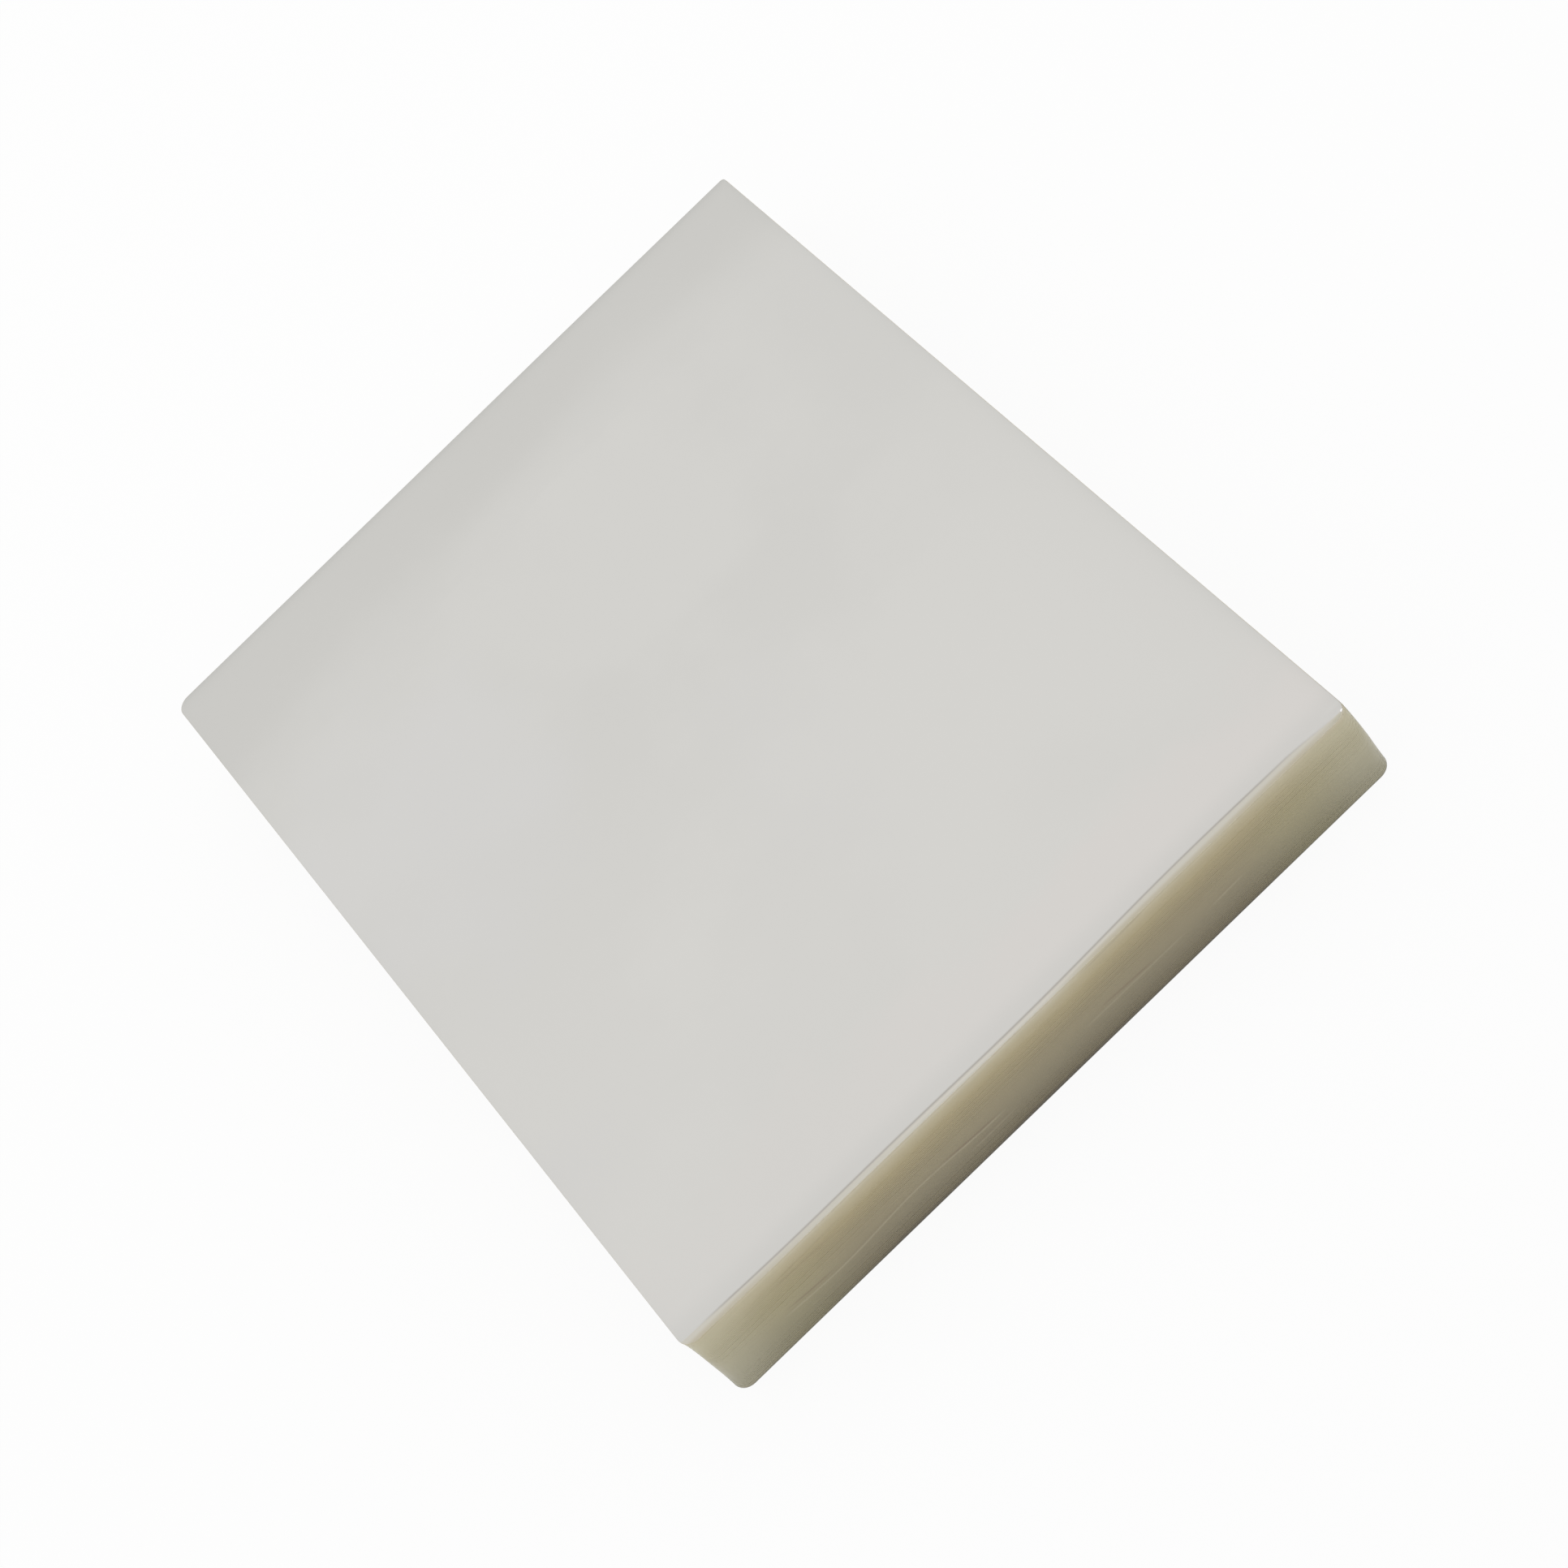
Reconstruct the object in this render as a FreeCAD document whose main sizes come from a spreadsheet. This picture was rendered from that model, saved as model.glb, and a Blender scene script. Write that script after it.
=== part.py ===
import FreeCAD, Part
import math
import os
import Sketcher

# Stack of laminating pouches, lying flat with the sealed edges together at the front.
# A pouch is two clear film leaves, one on the other, fused along one short edge and
# open on the other three sides. All sizes are in millimetres. X runs across a pouch,
# +Y runs from the sealed edge to the open end, +Z is up, and the origin is the middle
# of the footprint on the surface that the stack lies on.

SIZES = (
    ("pouch_width", "216", "across, side to side"),
    ("pouch_length", "303", "from the sealed edge to the open end"),
    ("corner_radius", "4.2", "three of the die-cut corners"),
    ("sharp_radius", "1.2", "the far right corner, which is cut nearly square"),
    ("film_thickness", "0.25", "one leaf"),
    ("leaf_gap", "0.013", "air between the two leaves of a pouch"),
    ("pouch_gap", "0.013", "air between one pouch and the next"),
    ("seal_width", "4.2", "fused strip along the sealed edge"),
    ("pouch_count", "50", "pouches in the stack"),
    ("side_lean", "0.6", "slow sideways lean of the stack's long sides"),
    ("end_lean", "0.2", "slow lean of the stack's two ends"),
    ("edge_scatter", "0.06", "how far single pouches stray from the lean"),
    ("turn_scatter", "0.03", "how far single pouches are turned, in degrees"),
    ("cut_overrun", "2", "how far the slit's cutter runs past the edges"),
)

# A pouch strays by the sine of its number times these degrees, so no two neighbours agree.
SCATTER_STEP_X = 137.5
SCATTER_STEP_Y = 222.5
TURN_STEP = 99.4
# From top to bottom the long sides follow a sine that ends at BOW_END degrees and is
# steepest at the top, and the ends follow END_WAVE degrees of a plain wave.
BOW_END = 130
BOW_POWER = 0.6
END_WAVE = 540
# Half of the bow, which runs from 0 to 1, so that the stack leans as far to both sides.
BOW_MIDDLE = 0.5

doc = FreeCAD.newDocument("laminating_pouches")

sheet = doc.addObject("Spreadsheet::Sheet", "sizes")
for row, (alias, value, meaning) in enumerate(SIZES, start=1):
    sheet.set(f"A{row}", alias)
    sheet.set(f"B{row}", value)
    sheet.set(f"C{row}", meaning)
    sheet.setAlias(f"B{row}", alias)
doc.recompute()


def attached_sketch(body, name, role):
    """An empty sketch on the body's own origin plane with this role."""
    sketch = body.newObject("Sketcher::SketchObject", name)
    plane = next(item for item in body.Origin.OriginFeatures if item.Role == role)
    sketch.AttachmentSupport = [(plane, "")]
    sketch.MapMode = "FlatFace"
    return sketch


def bind(sketch, constraint, formula):
    """Adds a constraint whose value follows a formula of the sheet's sizes."""
    index = sketch.addConstraint(constraint)
    sketch.setExpression(f"Constraints[{index}]", formula)


def outline_sketch(body):
    """The die-cut outline: a rectangle with round corners, centred on the origin."""
    sketch = attached_sketch(body, "outline", "XY_Plane")
    round_corner = sheet.corner_radius
    corners = (
        (1, -1, round_corner),
        (1, 1, sheet.sharp_radius),
        (-1, 1, round_corner),
        (-1, -1, round_corner),
    )
    up = FreeCAD.Vector(0, 0, 1)
    arcs = []
    for corner, (side_x, side_y, radius) in enumerate(corners):
        centre_x = side_x * (sheet.pouch_width / 2 - radius)
        centre_y = side_y * (sheet.pouch_length / 2 - radius)
        centre = FreeCAD.Vector(centre_x, centre_y, 0)
        start = math.radians(90 * (corner - 1))
        arcs.append(Part.ArcOfCircle(Part.Circle(centre, up, radius), start, start + math.pi / 2))
    for arc in arcs:
        sketch.addGeometry(arc)
    for arc, following in zip(arcs, arcs[1:] + arcs[:1]):
        sketch.addGeometry(Part.LineSegment(arc.EndPoint, following.StartPoint))
    for corner in range(4):
        side = 4 + corner
        sketch.addConstraint(Sketcher.Constraint("Tangent", corner, 2, side, 1))
        sketch.addConstraint(Sketcher.Constraint("Tangent", side, 2, (corner + 1) % 4, 1))
    near_right, far_right, far_left, near_left = 0, 1, 2, 3
    for corner in (far_left, near_left):
        sketch.addConstraint(Sketcher.Constraint("Equal", near_right, corner))
    right, far, left, near = 4, 5, 6, 7
    sketch.addConstraint(Sketcher.Constraint("Vertical", right))
    sketch.addConstraint(Sketcher.Constraint("Horizontal", far))
    sketch.addConstraint(Sketcher.Constraint("Vertical", left))
    sketch.addConstraint(Sketcher.Constraint("Symmetric", near_right, 3, far_left, 3, -1, 1))
    width = Sketcher.Constraint("Distance", left, 1, right, sheet.pouch_width)
    length = Sketcher.Constraint("Distance", near, 1, far, sheet.pouch_length)
    bind(sketch, width, "sizes.pouch_width")
    bind(sketch, length, "sizes.pouch_length")
    sharp_corner = Sketcher.Constraint("Radius", far_right, sheet.sharp_radius)
    bind(sketch, Sketcher.Constraint("Radius", near_right, round_corner), "sizes.corner_radius")
    bind(sketch, sharp_corner, "sizes.sharp_radius")
    return sketch


def slit_sketch(body):
    """Side view of the air between the leaves: from the seal to past the open end."""
    sketch = attached_sketch(body, "slit_profile", "YZ_Plane")
    y_seal = sheet.seal_width - sheet.pouch_length / 2
    y_open = sheet.pouch_length / 2 + sheet.cut_overrun
    z_low = sheet.film_thickness
    z_high = sheet.film_thickness + sheet.leaf_gap
    points = [
        FreeCAD.Vector(y_seal, z_low, 0),
        FreeCAD.Vector(y_open, z_low, 0),
        FreeCAD.Vector(y_open, z_high, 0),
        FreeCAD.Vector(y_seal, z_high, 0),
    ]
    for point, following in zip(points, points[1:] + points[:1]):
        sketch.addGeometry(Part.LineSegment(point, following))
    for corner in range(4):
        sketch.addConstraint(Sketcher.Constraint("Coincident", corner, 2, (corner + 1) % 4, 1))
    low, open_end, high, seal_end = 0, 1, 2, 3
    for line in (low, high):
        sketch.addConstraint(Sketcher.Constraint("Horizontal", line))
    for line in (open_end, seal_end):
        sketch.addConstraint(Sketcher.Constraint("Vertical", line))
    from_seal = Sketcher.Constraint("DistanceX", low, 1, -1, 1, -y_seal)
    to_open = Sketcher.Constraint("DistanceX", -1, 1, low, 2, y_open)
    lower_leaf = Sketcher.Constraint("DistanceY", -1, 1, low, 1, z_low)
    air = Sketcher.Constraint("DistanceY", low, 2, high, 1, z_high - z_low)
    bind(sketch, from_seal, "sizes.pouch_length / 2 - sizes.seal_width")
    bind(sketch, to_open, "sizes.pouch_length / 2 + sizes.cut_overrun")
    bind(sketch, lower_leaf, "sizes.film_thickness")
    bind(sketch, air, "sizes.leaf_gap")
    return sketch


def drawn_pouch():
    """One pouch: the outline at the height of both leaves, slit open up to the seal."""
    body = doc.addObject("PartDesign::Body", "drawn_pouch")
    blank = body.newObject("PartDesign::Pad", "blank")
    blank.Profile = outline_sketch(body)
    blank.setExpression("Length", "2 * sizes.film_thickness + sizes.leaf_gap")
    doc.recompute()
    slit = body.newObject("PartDesign::Pocket", "slit")
    slit.Profile = slit_sketch(body)
    slit.Midplane = True
    slit.setExpression("Length", "sizes.pouch_width + 2 * sizes.cut_overrun")
    body.Tip = slit
    doc.recompute()
    full_slit = sheet.pouch_width * (sheet.pouch_length - sheet.seal_width) * sheet.leaf_gap
    missing_corners = 2 * (2 * sheet.corner_radius) ** 2 * sheet.leaf_gap
    removed = blank.Shape.Volume - slit.Shape.Volume
    if not full_slit - missing_corners < removed < full_slit * 1.0001:
        raise RuntimeError("the slit between the leaves is not cut as drawn")
    return body


def stacked_pouch(body, number):
    """The drawn pouch again, at its own height in the stack and strayed a little."""
    link = doc.addObject("App::Link", f"pouch_{number + 1:02d}")
    link.LinkedObject = body
    pitch = "(2 * sizes.film_thickness + sizes.leaf_gap + sizes.pouch_gap)"
    depth = f"max(0; 1 - {number} / max(1; sizes.pouch_count - 1))"
    bow = f"(sin({BOW_END}deg * {depth} ^ {BOW_POWER}) - {BOW_MIDDLE})"
    wave = f"sin({END_WAVE}deg * {depth})"
    stray_x = f"sizes.edge_scatter * sin({SCATTER_STEP_X * number}deg)"
    stray_y = f"sizes.edge_scatter * sin({SCATTER_STEP_Y * number}deg)"
    turn = f"sizes.turn_scatter * sin({TURN_STEP * number}deg)"
    link.setExpression("Placement.Base.x", f"sizes.side_lean * {bow} + {stray_x}")
    link.setExpression("Placement.Base.y", f"sizes.end_lean * {wave} + {stray_y}")
    link.setExpression("Placement.Base.z", f"{pitch} * {number}")
    link.setExpression("Placement.Rotation.Angle", turn)
    return link


drawn = drawn_pouch()
stack = [stacked_pouch(drawn, number) for number in range(int(sheet.pouch_count))]
doc.recompute()

for item in doc.Objects:
    if "Invalid" in item.State or "Error" in item.State:
        raise RuntimeError(f"{item.Name} failed: {item.State}")
for pouch in stack:
    if pouch.Shape.isNull() or not pouch.Shape.isValid():
        raise RuntimeError(f"{pouch.Label} has no valid shape")

os.makedirs("parts", exist_ok=True)
for pouch in stack:
    pouch.Shape.exportStep(f"parts/{pouch.Label}.step")

whole = Part.makeCompound([pouch.Shape for pouch in stack])
box = whole.BoundBox
print(len(stack), "pouches,", round(whole.Volume / 1000, 1), "cm3, width", round(box.XLength, 3),
      "length", round(box.YLength, 3), "height", round(box.ZLength, 4),
      "middle", round(box.Center.x, 4), round(box.Center.y, 4))
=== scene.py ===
import bpy
import math
import numpy as np
from bpy.props import FloatProperty, FloatVectorProperty, PointerProperty
from mathutils import Matrix, Vector


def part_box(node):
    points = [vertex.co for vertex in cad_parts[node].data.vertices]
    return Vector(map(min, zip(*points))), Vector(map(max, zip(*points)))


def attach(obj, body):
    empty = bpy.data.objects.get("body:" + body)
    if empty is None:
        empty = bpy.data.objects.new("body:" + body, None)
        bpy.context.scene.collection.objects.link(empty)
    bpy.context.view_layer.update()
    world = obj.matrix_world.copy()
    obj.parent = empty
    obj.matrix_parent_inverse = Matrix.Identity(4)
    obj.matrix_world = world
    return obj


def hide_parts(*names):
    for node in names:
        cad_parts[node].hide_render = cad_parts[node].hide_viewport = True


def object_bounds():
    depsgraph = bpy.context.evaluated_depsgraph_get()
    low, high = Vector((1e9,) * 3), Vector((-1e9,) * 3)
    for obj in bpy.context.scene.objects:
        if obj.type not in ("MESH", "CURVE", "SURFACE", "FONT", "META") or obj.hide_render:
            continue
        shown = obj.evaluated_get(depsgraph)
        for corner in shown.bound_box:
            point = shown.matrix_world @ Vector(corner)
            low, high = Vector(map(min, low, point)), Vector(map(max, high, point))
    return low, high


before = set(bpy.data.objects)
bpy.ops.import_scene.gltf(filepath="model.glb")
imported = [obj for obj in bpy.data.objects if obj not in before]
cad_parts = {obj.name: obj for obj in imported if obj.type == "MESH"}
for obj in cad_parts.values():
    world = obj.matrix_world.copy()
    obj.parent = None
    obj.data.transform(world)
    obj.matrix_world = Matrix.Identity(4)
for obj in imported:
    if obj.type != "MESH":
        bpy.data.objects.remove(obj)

bl_info = {
    "name": "Laminating pouch stack",
    "version": (1, 0, 0),
    "blender": (4, 5, 0),
    "location": "View3D > Sidebar > Pouches",
    "description": "Lays a stack of milky laminating pouches and lights it for a picture",
    "category": "Add Mesh",
}

MM = 0.001


def shade(red, green, blue):
    """A colour from 8-bit screen values, turned into Blender's linear ones."""
    screen = [value / 255 for value in (red, green, blue)]
    return tuple(v / 12.92 if v <= 0.04045 else ((v + 0.055) / 1.055) ** 2.4 for v in screen)


POUCH_NODES = sorted(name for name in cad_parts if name.startswith("pouch_"))
BOTTOM_NODE, *STACKED_NODES, TOP_NODE = POUCH_NODES
LOWEST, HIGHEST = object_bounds()
STACK_HEIGHT = HIGHEST[2] - LOWEST[2]
POUCH_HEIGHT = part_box(BOTTOM_NODE)[1][2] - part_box(BOTTOM_NODE)[0][2]

# A pouch is turned by the sine of its number times this many degrees.
TURN_STEP = 99.4
# From top to bottom the long sides follow a sine that ends at BOW_END degrees, is steepest at
# the top and is lowered by BOW_MIDDLE. The ends follow END_WAVE degrees of a plain wave.
BOW_END = 130
BOW_POWER = 0.6
BOW_MIDDLE = 0.5
END_WAVE = 540
# The hot bar's mark wanders by two sines, given as length, phase and size in shares of its mean,
# and turns out to the right corner between two places by a share of its mean.
MARK_WAVES = ((2 * math.pi * 36.3 * MM, -0.79, 0.28), (2 * math.pi * 13.7 * MM, 1.13, -0.10))
MARK_TURN = (88 * MM, 107 * MM, 0.53)
# The painted glint's middle and its half sizes, across and along: a painted highlight by the near right
# corner.
GLINT_PLACE = (106.6 * MM, -149.95 * MM)
GLINT_SIZE = (0.6 * MM, 0.45 * MM)
# How far down the stack, as a share of its height, each colour of the cut edges lies. The colours are
# partly the stacked film's olive and partly painted light: paler near the top, where light comes in
# through the top film, and painted shade towards the foot.
EDGE_STOPS = ((0.0, "edge_top"), (0.055, "edge_high"), (0.10, "edge_straw"), (0.2, "edge_upper"),
              (0.42, "edge_middle"), (0.72, "edge_deep"), (0.95, "edge_lower"), (1.0, "edge_foot_shade"))
# Streaks of painted light on the cut edges, a pale painted highlight where sheets stand out and a dark
# painted
# shadow above it: start and end along the edge, mean height, wavelength, phase and size of its wave, rise
# along the edge, and the strengths of its pale and its dark line.
STREAKS = (
    (-0.089, -0.014, 9.3 * MM, 0.052, 0.50, 0.8 * MM, 0.000, 0.44, 0.10),
    (-0.087, -0.069, 9.5 * MM, 0.052, 0.50, 0.8 * MM, -0.010, 0.00, 0.45),
    (-0.036, -0.016, 9.2 * MM, 0.052, 0.50, 0.8 * MM, 0.000, 0.05, 0.50),
    (0.016, 0.036, 11.4 * MM, 0.110, 0.54, 0.1 * MM, -0.062, 0.05, 0.45),
    (0.010, 0.046, 9.3 * MM, 0.060, 0.54, 0.1 * MM, 0.000, 0.30, 0.05),
    (0.051, 0.066, 7.0 * MM, 0.040, 0.00, 0.1 * MM, 0.045, 0.35, 0.10),
    (-0.030, -0.012, 5.9 * MM, 0.080, 1.00, 0.3 * MM, 0.000, 0.25, 0.20),
    (0.018, 0.042, 23.1 * MM, 0.070, 0.20, 0.2 * MM, 0.045, 0.05, 0.22),
    (-0.085, -0.058, 21.0 * MM, 0.060, 1.00, 0.3 * MM, 0.000, 0.03, 0.12),
    (-0.086, -0.062, 16.8 * MM, 0.050, 0.30, 0.2 * MM, -0.030, 0.03, 0.15),
)
# The camera, in the photograph's own frame of so many pixels.
FRAME_PIXELS = 1932
FOCAL_PIXELS = 5248.4
SENSOR_WIDTH = 36
CAMERA_TILT = math.radians(45.2767)
CAMERA_YAW = math.radians(0.0660)
CAMERA_ROLL = math.radians(-44.1154)
CAMERA_PLACE = Vector((0.001337, -0.796868, 0.790773))

FLOOR_REACH = 3.0
FLOOR_LINES = 13


# Sizes and colours that a user may change

def length_of(name, description, default):
    return FloatProperty(name=name, description=description, default=default, min=0.0, unit="LENGTH",
                         subtype="DISTANCE", precision=5)


def colour_of(name, description, default):
    return FloatVectorProperty(name=name, description=description, default=default, size=3, min=0.0, max=1.0,
                               subtype="COLOR")


class PouchSizes(bpy.types.PropertyGroup):
    """Sizes of one pouch and of the slack in the stack."""
    pouch_width: length_of("Pouch width", "Side to side", 0.216)
    pouch_length: length_of("Pouch length", "From the sealed edge to the open end", 0.303)
    corner_radius: length_of("Corner radius", "Three of the die-cut corners", 4.2 * MM)
    sharp_radius: length_of("Sharp radius", "The far right corner, cut nearly square", 1.2 * MM)
    seal_width: length_of("Seal width", "Fused strip along the sealed edge", 4.2 * MM)
    bar_mark: length_of("Bar mark", "From the sealed edge to the line that the hot bar left", 2.4 * MM)
    leaf_gap: length_of("Leaf gap", "Air between the two leaves", 0.013 * MM)
    cut_round: length_of("Cut rounding", "Radius that the die leaves on a leaf's cut edge", 0.012 * MM)
    edge_wander: length_of("Edge wander", "How far a cut edge wanders inwards", 0.02 * MM)
    sag: length_of("Sag", "How far the top film dips in its slow waves", 0.5 * MM)
    side_lean: length_of("Side lean", "Slow sideways lean of the long sides", 0.6 * MM)
    end_lean: length_of("End lean", "Slow lean of the two ends", 0.2 * MM)
    stray_shown: FloatProperty(name="Stray shown", description="Share of a node's stray from the lean",
                               default=0.12, min=0.0, max=1.0, subtype="FACTOR")
    turn_scatter: FloatProperty(name="Turn scatter", description="How far single pouches are turned",
                                default=math.radians(0.03), unit="ROTATION", subtype="ANGLE")


class FilmColours(bpy.types.PropertyGroup):
    """Colours of the film, flat on and edge on."""
    face: colour_of("Face", "Milky film seen flat on", shade(209.5, 208, 203.6))
    face_pale: colour_of("Pale face", "Paler clouds in the film", shade(211.8, 210.3, 205.9))
    # Painted shade: the film darker towards the open end, where less light falls.
    face_far_shade: colour_of("Far face", "Film towards the open end", shade(200.5, 199.2, 195))
    face_cool: colour_of("Cool face", "Cooler clouds in the film", shade(206, 204.8, 202.5))
    face_warm: colour_of("Warm face", "Film beside the sealed strip", shade(213, 209.4, 205))
    face_dull: colour_of("Dull face", "Film along the open end and by the seal", shade(201, 199.8, 195.6))
    strip: colour_of("Sealed strip", "Fused film along the sealed edge", shade(199, 194.8, 182.5))
    lip: colour_of("Lip", "Front lip of the top film, where it turns down", shade(185, 176, 154))
    seal_line: colour_of("Seal line", "Thin dark line where the seal ends", shade(170, 164, 156))
    # Painted shade along the top film's edge, where it rounds away from the light.
    rim_shade: colour_of("Rim", "Top film where it meets its cut edge", shade(176, 176, 172))
    # Painted highlight along the middle of the sealed strip.
    strip_highlight: colour_of("Bright band", "Middle of the sealed strip", shade(206, 201, 191))
    strip_corner: colour_of("Strip by the corner", "Sealed strip by the right corner", shade(181, 176, 155))
    # Painted reflection: a faint whitish sheen by the near right corner.
    haze_reflection: colour_of("Haze", "Faint haze by the near right corner", shade(220, 219, 214))
    # Painted highlight: a small white glint on the near right corner of the top film.
    corner_glint: colour_of("Scuff", "Small scuff by the near right corner", shade(255, 255, 255))
    # The cut edges' colours down the stack: partly the stacked film's olive, partly painted light near the
    # top, where light comes in through the top film, and painted shade towards the foot.
    edge_top: colour_of("Edge, top", "Cut edges just under the top film", shade(199, 191, 171))
    edge_high: colour_of("Edge, high", "Cut edges a twentieth of the way down", shade(190, 181, 154))
    edge_straw: colour_of("Edge, straw", "Cut edges a tenth of the way down", shade(183, 172, 141))
    edge_upper: colour_of("Edge, upper", "Cut edges a fifth of the way down", shade(170, 157, 122))
    edge_middle: colour_of("Edge, middle", "Cut edges half way down", shade(152, 141, 112))
    edge_deep: colour_of("Edge, deep", "Cut edges three quarters of the way down", shade(134, 125, 100))
    edge_lower: colour_of("Edge, lower", "Cut edges near the bottom", shade(117, 108, 85))
    # Painted shade: the darkest cut edge, along the foot where the stack meets the table.
    edge_foot_shade: colour_of("Edge, foot", "Cut edge that rests on the table", shade(84, 76, 62))
    # Painted light: cut edges paler and greener by a corner, where light shines through it.
    corner_lit_upper: colour_of("Corner, upper", "Cut edges by a corner, near the top", shade(186, 179, 151))
    corner_lit_lower: colour_of("Corner, lower", "Cut edges by a corner, near the bottom", shade(161, 156, 134))
    olive_upper: colour_of("Olive, upper", "An inch from a corner, high up", shade(165, 156, 118))
    olive_lower: colour_of("Olive, lower", "An inch from a corner, low down", shade(136, 130, 100))
    # Painted highlight and painted shadow of the streaks: a pale line where sheet edges stand out and catch
    # the light, a dark line where sheets overhang.
    streak_highlight: colour_of("Pale streak", "Edges of sheets that stand out", shade(173, 164, 140))
    streak_shadow: colour_of("Dark streak", "Edges of sheets that lie back", shade(117, 96, 76))
    speck: colour_of("Specks", "Fine dark specks on the cut edges", shade(107, 96, 73))


class StageLight(bpy.types.PropertyGroup):
    """Lamps and floor round the stack."""
    box_power: FloatProperty(name="Soft box power", description="Watts of the large soft box overhead",
                             default=10.5, min=0.0, unit="POWER")
    low_light: FloatProperty(name="Low light", description="Strength of the light from the walls",
                             default=1.5, min=0.0)
    high_light: FloatProperty(name="High light", description="Strength of the light from the ceiling",
                              default=0.1, min=0.0)
    floor: colour_of("Floor", "Pale floor", shade(236, 236, 235))


# Surfaces

def cut_line(sizes, arc_steps, side_steps):
    """The die-cut outline as points and outward normals, walked anticlockwise.

    A corner's points lie at its centre plus the radius times (cos a, sin a), a over a quarter
    turn. A side's points run straight from one arc's end to the next arc's start, closer
    together towards its ends by a half cosine.
    """
    half_x = sizes.pouch_width / 2
    half_y = sizes.pouch_length / 2
    eased = (1 - np.cos(np.linspace(0, np.pi, side_steps + 2)[1:-1])) / 2
    arcs = []
    for corner, (side_x, side_y) in enumerate(((1, -1), (1, 1), (-1, 1), (-1, -1))):
        turn = np.radians(90) * (corner - 1) + np.linspace(0, np.pi / 2, arc_steps + 1)
        normal = np.stack([np.cos(turn), np.sin(turn)], axis=1)
        radius = sizes.sharp_radius if side_x > 0 and side_y > 0 else sizes.corner_radius
        centre = np.array([side_x * (half_x - radius), side_y * (half_y - radius)])
        arcs.append((centre + radius * normal, normal))
    points = []
    normals = []
    for (here, here_normal), (after, _) in zip(arcs, arcs[1:] + arcs[:1]):
        start, end = here[-1], after[0]
        points += [here, start + eased[:, None] * (end - start)]
        normals += [here_normal, np.repeat(here_normal[-1:], len(eased), axis=0)]
    return np.concatenate(points), np.concatenate(normals)


def edge_wander(line, number, reach):
    """How far the cut lies inside the drawn outline at each point of the line.

    Four sine waves with 3, 8, 21 and 47 turns round the outline, each with a phase of the
    pouch's own, are added and scaled to run from 0 to the reach.
    """
    step = np.linalg.norm(np.roll(line, -1, axis=0) - line, axis=1)
    round_turn = 2 * np.pi * np.concatenate([[0], np.cumsum(step)[:-1]]) / step.sum()
    waves = sum(share * np.sin(turns * round_turn + number * phase)
                for turns, share, phase in ((3, 0.4, 2.1), (8, 0.3, 4.3), (21, 0.2, 1.3), (47, 0.1, 5.1)))
    return reach * (0.5 + 0.5 * waves)


def mark_place(x):
    """How far inside the sealed edge the hot bar's mark lies, in shares of its mean, at each x.

    One plus the two sines of MARK_WAVES, because the hot bar wanders, and less a smooth step
    where the mark turns out to the right corner.
    """
    start, end, turn = MARK_TURN
    step = np.clip((x - start) / (end - start), 0, 1)
    place = 1 - turn * step * step * (3 - 2 * step)
    for length, phase, size in MARK_WAVES:
        place = place + size * np.sin(2 * math.pi * x / length + phase)
    return place


def openness(x, y, sizes):
    """0 on the fused strip and 1 where the two leaves are free, by a smooth step 0.5 mm wide."""
    seal = -sizes.pouch_length / 2 + sizes.seal_width
    share = np.clip((y - seal) / (0.5 * MM) + 0.5, 0, 1)
    return share * share * (3 - 2 * share)


def sag_at(x, y, sizes):
    """How far the top film dips at each place.

    Three slow waves make half of it. The other half is a hollow, exp(-r^2) with r counted from
    its middle in steps of 85 by 60 mm, out of which the film rises to the far right corner.
    """
    u = x / sizes.pouch_width
    v = y / sizes.pouch_length
    waves = (0.5 * np.cos(2 * np.pi * (0.8 * v + 0.35 * u + 0.1)) + 0.3 * np.cos(2 * np.pi * (1.3 * u + 0.2))
             + 0.2 * np.cos(2 * np.pi * (2.1 * u - 1.7 * v)))
    hollow = np.exp(-((x - 30 * MM) / (85 * MM)) ** 2 - ((y - 70 * MM) / (60 * MM)) ** 2)
    return sizes.sag * (0.25 + 0.25 * waves + 0.5 * hollow)


def leaf_rings(round_steps, insets, towards):
    """The rings that carry the outline over a closed leaf, from the middle of its upper face to
    the middle of its lower one.

    A ring is (toward, inset, drop, face): the outline drawn in by the inset from all four sides,
    shrunk to the middle by toward, and lowered from its face by the drop. The face is 1 on the
    upper face, 0 and -0.5 on the cut edge's upper and lower half, and -1 on the lower face. Insets
    and drops on the cut edge are shares of the cut's rounding, on a quarter circle: 1 - sin a and
    1 - cos a.
    """
    turn = np.linspace(0, np.pi / 2, round_steps + 1)
    inner = [(toward, insets[0], 0.0, 1) for toward in towards]
    strip = [(1.0, inset, 0.0, 1) for inset in insets]
    upper_cut = [(1.0, 1 - math.sin(a), 1 - math.cos(a), 0) for a in turn]
    lower_cut = [(1.0, inset, drop, -0.5) for toward, inset, drop, face in upper_cut[::-1]]
    lower_face = [(toward, inset, drop, -1) for toward, inset, drop, face in (inner + strip)[::-1]]
    return np.array(inner + strip + upper_cut + lower_cut + lower_face)


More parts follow.
